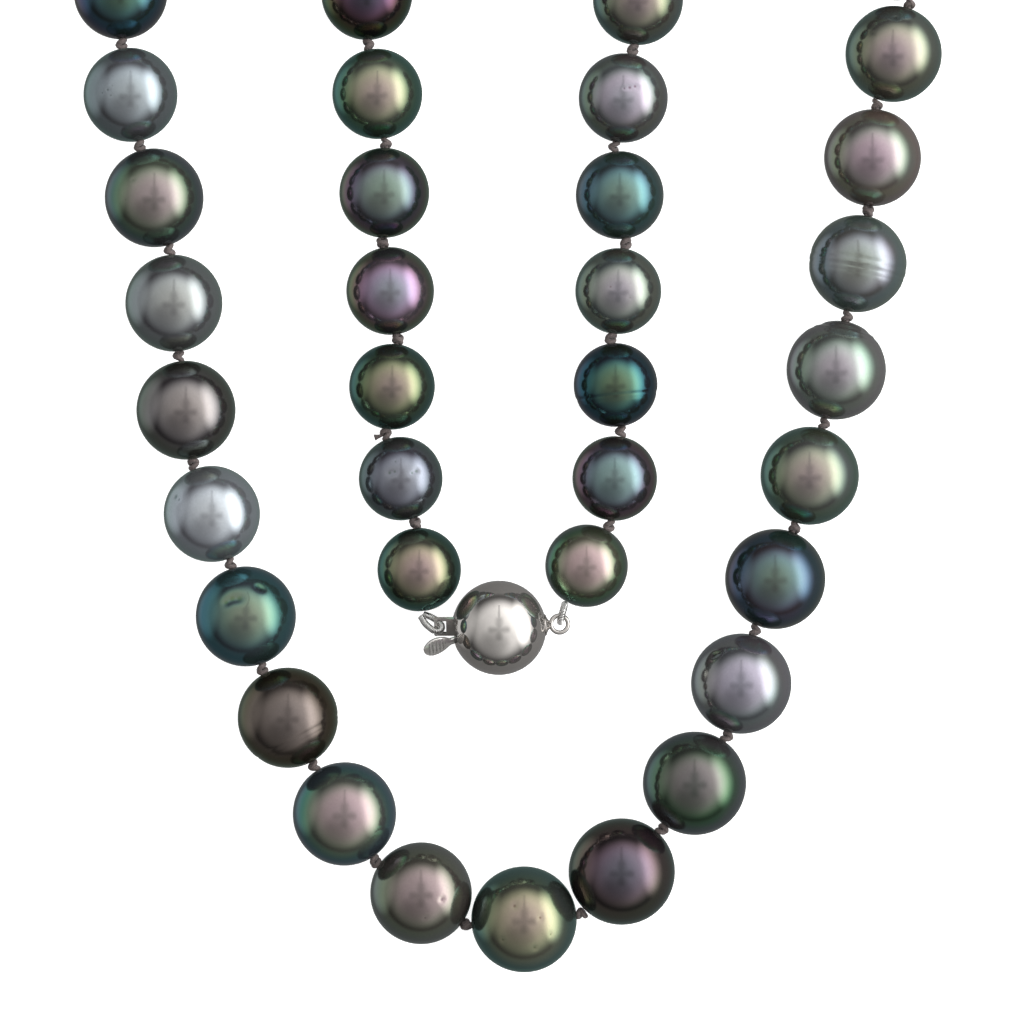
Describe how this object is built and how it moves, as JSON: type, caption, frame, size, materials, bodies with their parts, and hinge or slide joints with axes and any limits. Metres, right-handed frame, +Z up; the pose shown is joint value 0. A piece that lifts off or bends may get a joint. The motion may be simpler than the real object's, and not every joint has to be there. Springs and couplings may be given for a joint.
{
  "type": "pearl necklace",
  "caption": "Graduated round pearl necklace knotted on silk, with a push-in ball clasp, laid flat in two tall loops.",
  "frame": {"origin": "on the surface that the necklace lies on, under the middle of its outline", "axes": "+Y from the front pearl towards the two loops, +X towards the side with the soldered ring, +Z up off the surface"},
  "size_m": [0.0922, 0.1232, 0.0113],
  "materials": {
    "pearl_01": "polished",
    "pearl_02": "polished",
    "pearl_03": "polished",
    "pearl_04": "polished",
    "pearl_05": "polished",
    "pearl_06": "polished",
    "pearl_07": "polished",
    "pearl_08": "polished",
    "pearl_09": "polished",
    "pearl_10": "polished",
    "pearl_11": "polished",
    "pearl_12": "polished",
    "pearl_13": "polished",
    "pearl_14": "polished",
    "pearl_15": "polished",
    "pearl_16": "polished",
    "pearl_17": "polished",
    "pearl_18": "polished",
    "pearl_19": "polished",
    "pearl_20": "polished",
    "pearl_21": "polished",
    "pearl_22": "polished",
    "pearl_23": "polished",
    "pearl_24": "polished",
    "pearl_25": "polished",
    "pearl_26": "polished",
    "pearl_27": "polished",
    "pearl_28": "polished",
    "pearl_29": "polished",
    "pearl_30": "polished",
    "pearl_31": "polished",
    "pearl_32": "polished",
    "pearl_33": "polished",
    "pearl_34": "polished",
    "pearl_35": "polished",
    "pearl_36": "polished",
    "pearl_37": "polished",
    "pearl_38": "polished",
    "pearl_39": "polished",
    "pearl_40": "polished",
    "pearl_41": "polished",
    "silk": "matte",
    "clasp_metal": "polished",
    "bullion_wire": "satin"
  },
  "bodies": {
    "clasp_ball": {"ball_slot_half": "clasp_metal", "ball_ring_half": "clasp_metal", "clasp_box": "clasp_metal", "clasp_ring": "clasp_metal"},
    "tongue": {"tongue_plate": "clasp_metal"},
    "tongue_leaf": {"tongue_spring": "clasp_metal", "thumb_tab": "clasp_metal"},
    "gimp_tongue_end": {"gimp_tongue_end": "bullion_wire"},
    "gimp_ring_end": {"gimp_ring_end": "bullion_wire"},
    "pearl_01": {"pearl_01": "pearl_01"},
    "pearl_02": {"pearl_02": "pearl_02", "silk_tail": "silk"},
    "pearl_03": {"pearl_03": "pearl_03"},
    "pearl_04": {"pearl_04": "pearl_04"},
    "pearl_05": {"pearl_05": "pearl_05"},
    "pearl_06": {"pearl_06": "pearl_06"},
    "pearl_07": {"pearl_07": "pearl_07"},
    "pearl_08": {"pearl_08": "pearl_08"},
    "pearl_09": {"pearl_09": "pearl_09"},
    "pearl_10": {"pearl_10": "pearl_10"},
    "pearl_11": {"pearl_11": "pearl_11"},
    "pearl_12": {"pearl_12": "pearl_12"},
    "pearl_13": {"pearl_13": "pearl_13"},
    "pearl_14": {"pearl_14": "pearl_14"},
    "pearl_15": {"pearl_15": "pearl_15"},
    "pearl_16": {"pearl_16": "pearl_16"},
    "pearl_17": {"pearl_17": "pearl_17"},
    "pearl_18": {"pearl_18": "pearl_18"},
    "pearl_19": {"pearl_19": "pearl_19"},
    "pearl_20": {"pearl_20": "pearl_20"},
    "pearl_21": {"pearl_21": "pearl_21"},
    "pearl_22": {"pearl_22": "pearl_22"},
    "pearl_23": {"pearl_23": "pearl_23"},
    "pearl_24": {"pearl_24": "pearl_24"},
    "pearl_25": {"pearl_25": "pearl_25"},
    "pearl_26": {"pearl_26": "pearl_26"},
    "pearl_27": {"pearl_27": "pearl_27"},
    "pearl_28": {"pearl_28": "pearl_28"},
    "pearl_29": {"pearl_29": "pearl_29"},
    "pearl_30": {"pearl_30": "pearl_30"},
    "pearl_31": {"pearl_31": "pearl_31"},
    "pearl_32": {"pearl_32": "pearl_32"},
    "pearl_33": {"pearl_33": "pearl_33"},
    "pearl_34": {"pearl_34": "pearl_34"},
    "pearl_35": {"pearl_35": "pearl_35"},
    "pearl_36": {"pearl_36": "pearl_36"},
    "pearl_37": {"pearl_37": "pearl_37"},
    "pearl_38": {"pearl_38": "pearl_38"},
    "pearl_39": {"pearl_39": "pearl_39"},
    "pearl_40": {"pearl_40": "pearl_40"},
    "pearl_41": {"pearl_41": "pearl_41"}
  },
  "joints": [
    {"name": "clasp_slide", "type": "slide", "parent": "clasp_ball", "child": "tongue", "axis": [-1, 0, 0], "range_m": [0, 0.008]},
    {"name": "clasp_press", "type": "hinge", "parent": "tongue", "child": "tongue_leaf", "pos_m": [0.00151, -0.02505, 0.00486], "axis": [0, -0.7071, -0.7071], "range_deg": [0, 7], "stiffness_Nm_per_rad": 0.02},
    {"name": "gimp_tongue_swing", "type": "hinge", "parent": "tongue", "child": "gimp_tongue_end", "pos_m": [-0.00776, -0.02505, 0.00486], "axis": [0, 0.7071, 0.7071], "range_deg": [-12, 0]},
    {"name": "gimp_ring_swing", "type": "hinge", "parent": "clasp_ball", "child": "gimp_ring_end", "pos_m": [0.00554, -0.02392, 0.005], "axis": [-0.9661, 0.2583, 0], "range_deg": [-40, 40]},
    {"name": "knot_00", "type": "hinge", "parent": "gimp_tongue_end", "child": "pearl_01", "pos_m": [-0.00912, -0.02397, 0.00445], "axis": [-0.9962, -0.0872, 0], "range_deg": [-25, 25]},
    {"name": "knot_01", "type": "hinge", "parent": "pearl_01", "child": "pearl_02", "pos_m": [-0.00998, -0.01411, 0.00445], "axis": [-0.9799, -0.1994, 0], "range_deg": [-30, 30]},
    {"name": "knot_02", "type": "hinge", "parent": "pearl_02", "child": "pearl_03", "pos_m": [-0.01305, -0.00468, 0.00451], "axis": [0.9954, 0.0958, 0], "range_deg": [-30, 30]},
    {"name": "knot_03", "type": "hinge", "parent": "pearl_03", "child": "pearl_04", "pos_m": [-0.01181, 0.00537, 0.00462], "axis": [0.9998, 0.0175, 0], "range_deg": [-30, 30]},
    {"name": "knot_04", "type": "hinge", "parent": "pearl_04", "child": "pearl_05", "pos_m": [-0.01343, 0.01559, 0.00473], "axis": [-0.9981, -0.061, 0], "range_deg": [-30, 30]},
    {"name": "knot_05", "type": "hinge", "parent": "pearl_05", "child": "pearl_06", "pos_m": [-0.01306, 0.02614, 0.00478], "axis": [-0.9976, -0.0698, 0], "range_deg": [-30, 30]},
    {"name": "knot_06", "type": "hinge", "parent": "pearl_06", "child": "pearl_07", "pos_m": [-0.0149, 0.03656, 0.00482], "axis": [0.9945, 0.1045, 0], "range_deg": [-30, 30]},
    {"name": "knot_07", "type": "hinge", "parent": "pearl_07", "child": "pearl_08", "pos_m": [-0.01527, 0.04724, 0.00488], "axis": [0.9214, 0.3887, 0], "range_deg": [-26, 26]},
    {"name": "knot_08", "type": "hinge", "parent": "pearl_08", "child": "pearl_09", "pos_m": [-0.02276, 0.05506, 0.00491], "axis": [-0.3985, -0.9172, 0], "range_deg": [-12, 12]},
    {"name": "knot_09", "type": "hinge", "parent": "pearl_09", "child": "pearl_10", "pos_m": [-0.03357, 0.05519, 0.00491], "axis": [0.3753, -0.9269, 0], "range_deg": [-4, 12]},
    {"name": "knot_10", "type": "hinge", "parent": "pearl_10", "child": "pearl_11", "pos_m": [-0.04125, 0.04757, 0.00494], "axis": [-0.9265, 0.3762, 0], "range_deg": [-12, 12]},
    {"name": "knot_11", "type": "hinge", "parent": "pearl_11", "child": "pearl_12", "pos_m": [-0.04106, 0.03662, 0.00498], "axis": [-0.9954, -0.0958, 0], "range_deg": [-30, 30]},
    {"name": "knot_12", "type": "hinge", "parent": "pearl_12", "child": "pearl_13", "pos_m": [-0.03916, 0.02582, 0.00511], "axis": [0.9744, 0.225, 0], "range_deg": [-30, 30]},
    {"name": "knot_13", "type": "hinge", "parent": "pearl_13", "child": "pearl_14", "pos_m": [-0.03599, 0.01479, 0.00519], "axis": [0.9833, 0.1822, 0], "range_deg": [-30, 30]},
    {"name": "knot_14", "type": "hinge", "parent": "pearl_14", "child": "pearl_15", "pos_m": [-0.03501, 0.00354, 0.0052], "axis": [-0.9936, -0.1132, 0], "range_deg": [-30, 30]},
    {"name": "knot_15", "type": "hinge", "parent": "pearl_15", "child": "pearl_16", "pos_m": [-0.03341, -0.00786, 0.00518], "axis": [-0.9703, -0.2419, 0], "range_deg": [-30, 30]},
    {"name": "knot_16", "type": "hinge", "parent": "pearl_16", "child": "pearl_17", "pos_m": [-0.02957, -0.01841, 0.00522], "axis": [0.9483, 0.3173, 0], "range_deg": [-30, 30]},
    {"name": "knot_17", "type": "hinge", "parent": "pearl_17", "child": "pearl_18", "pos_m": [-0.02616, -0.02954, 0.00532], "axis": [0.9239, 0.3827, 0], "range_deg": [-30, 30]},
    {"name": "knot_18", "type": "hinge", "parent": "pearl_18", "child": "pearl_19", "pos_m": [-0.02069, -0.03983, 0.00541], "axis": [-0.8616, -0.5075, 0], "range_deg": [-30, 30]},
    {"name": "knot_19", "type": "hinge", "parent": "pearl_19", "child": "pearl_20", "pos_m": [-0.01417, -0.04987, 0.00544], "axis": [-0.7193, -0.6947, 0], "range_deg": [-30, 30]},
    {"name": "knot_20", "type": "hinge", "parent": "pearl_20", "child": "pearl_21", "pos_m": [-0.00452, -0.05663, 0.0055], "axis": [0.2504, 0.9681, 0], "range_deg": [-22, 22]},
    {"name": "knot_22", "type": "hinge", "parent": "pearl_23", "child": "pearl_22", "pos_m": [0.01615, -0.04652, 0.00556], "axis": [0.7716, -0.6361, 0], "range_deg": [-30, 30]},
    {"name": "knot_23", "type": "hinge", "parent": "pearl_24", "child": "pearl_23", "pos_m": [0.02301, -0.03671, 0.00541], "axis": [0.9063, -0.4226, 0], "range_deg": [-30, 30]},
    {"name": "knot_24", "type": "hinge", "parent": "pearl_25", "child": "pearl_24", "pos_m": [0.02603, -0.02546, 0.00532], "axis": [-0.9511, 0.309, 0], "range_deg": [-30, 30]},
    {"name": "knot_25", "type": "hinge", "parent": "pearl_26", "child": "pearl_25", "pos_m": [0.0302, -0.01459, 0.00527], "axis": [-0.9483, 0.3173, 0], "range_deg": [-30, 30]},
    {"name": "knot_26", "type": "hinge", "parent": "pearl_27", "child": "pearl_26", "pos_m": [0.03335, -0.00361, 0.00526], "axis": [0.9703, -0.2419, 0], "range_deg": [-30, 30]},
    {"name": "knot_27", "type": "hinge", "parent": "pearl_28", "child": "pearl_27", "pos_m": [0.03577, 0.00775, 0.00525], "axis": [0.9799, -0.1994, 0], "range_deg": [-30, 30]},
    {"name": "knot_28", "type": "hinge", "parent": "pearl_29", "child": "pearl_28", "pos_m": [0.03794, 0.01894, 0.00517], "axis": [-0.9903, 0.1392, 0], "range_deg": [-30, 30]},
    {"name": "knot_29", "type": "hinge", "parent": "pearl_30", "child": "pearl_29", "pos_m": [0.03892, 0.03017, 0.00514], "axis": [-0.9799, 0.1994, 0], "range_deg": [-30, 30]},
    {"name": "knot_30", "type": "hinge", "parent": "pearl_31", "child": "pearl_30", "pos_m": [0.0424, 0.04089, 0.0051], "axis": [0.9994, -0.0349, 0], "range_deg": [-30, 30]},
    {"name": "knot_31", "type": "hinge", "parent": "pearl_32", "child": "pearl_31", "pos_m": [0.03971, 0.05171, 0.00499], "axis": [0.8189, 0.574, 0], "range_deg": [-25, 25]},
    {"name": "knot_32", "type": "hinge", "parent": "pearl_33", "child": "pearl_32", "pos_m": [0.03073, 0.05775, 0.00491], "axis": [-0.1959, -0.9806, 0], "range_deg": [-12, 12]},
    {"name": "knot_33", "type": "hinge", "parent": "pearl_34", "child": "pearl_33", "pos_m": [0.02012, 0.05562, 0.00491], "axis": [0.5591, -0.8291, 0], "range_deg": [-12, 12]},
    {"name": "knot_34", "type": "hinge", "parent": "pearl_35", "child": "pearl_34", "pos_m": [0.01417, 0.04658, 0.00485], "axis": [-0.9416, 0.3368, 0], "range_deg": [-30, 30]},
    {"name": "knot_35", "type": "hinge", "parent": "pearl_36", "child": "pearl_35", "pos_m": [0.01307, 0.03605, 0.00477], "axis": [-0.989, 0.1478, 0], "range_deg": [-30, 30]},
    {"name": "knot_36", "type": "hinge", "parent": "pearl_37", "child": "pearl_36", "pos_m": [0.01107, 0.02577, 0.00471], "axis": [0.9994, -0.0349, 0], "range_deg": [-30, 30]},
    {"name": "knot_37", "type": "hinge", "parent": "pearl_38", "child": "pearl_37", "pos_m": [0.01233, 0.01548, 0.00463], "axis": [0.9998, -0.0175, 0], "range_deg": [-30, 30]},
    {"name": "knot_38", "type": "hinge", "parent": "pearl_39", "child": "pearl_38", "pos_m": [0.01074, 0.00546, 0.00452], "axis": [-0.9997, 0.0262, 0], "range_deg": [-30, 30]},
    {"name": "knot_39", "type": "hinge", "parent": "pearl_40", "child": "pearl_39", "pos_m": [0.01178, -0.00441, 0.00449], "axis": [-1, 0.0087, 0], "range_deg": [-30, 30]},
    {"name": "knot_40", "type": "hinge", "parent": "pearl_41", "child": "pearl_40", "pos_m": [0.01056, -0.01435, 0.00445], "axis": [0.9511, -0.309, 0], "range_deg": [-30, 30]},
    {"name": "knot_41", "type": "hinge", "parent": "gimp_ring_end", "child": "pearl_41", "pos_m": [0.00581, -0.02292, 0.0044], "axis": [0.8746, -0.4848, 0], "range_deg": [-25, 25]}
  ]
}
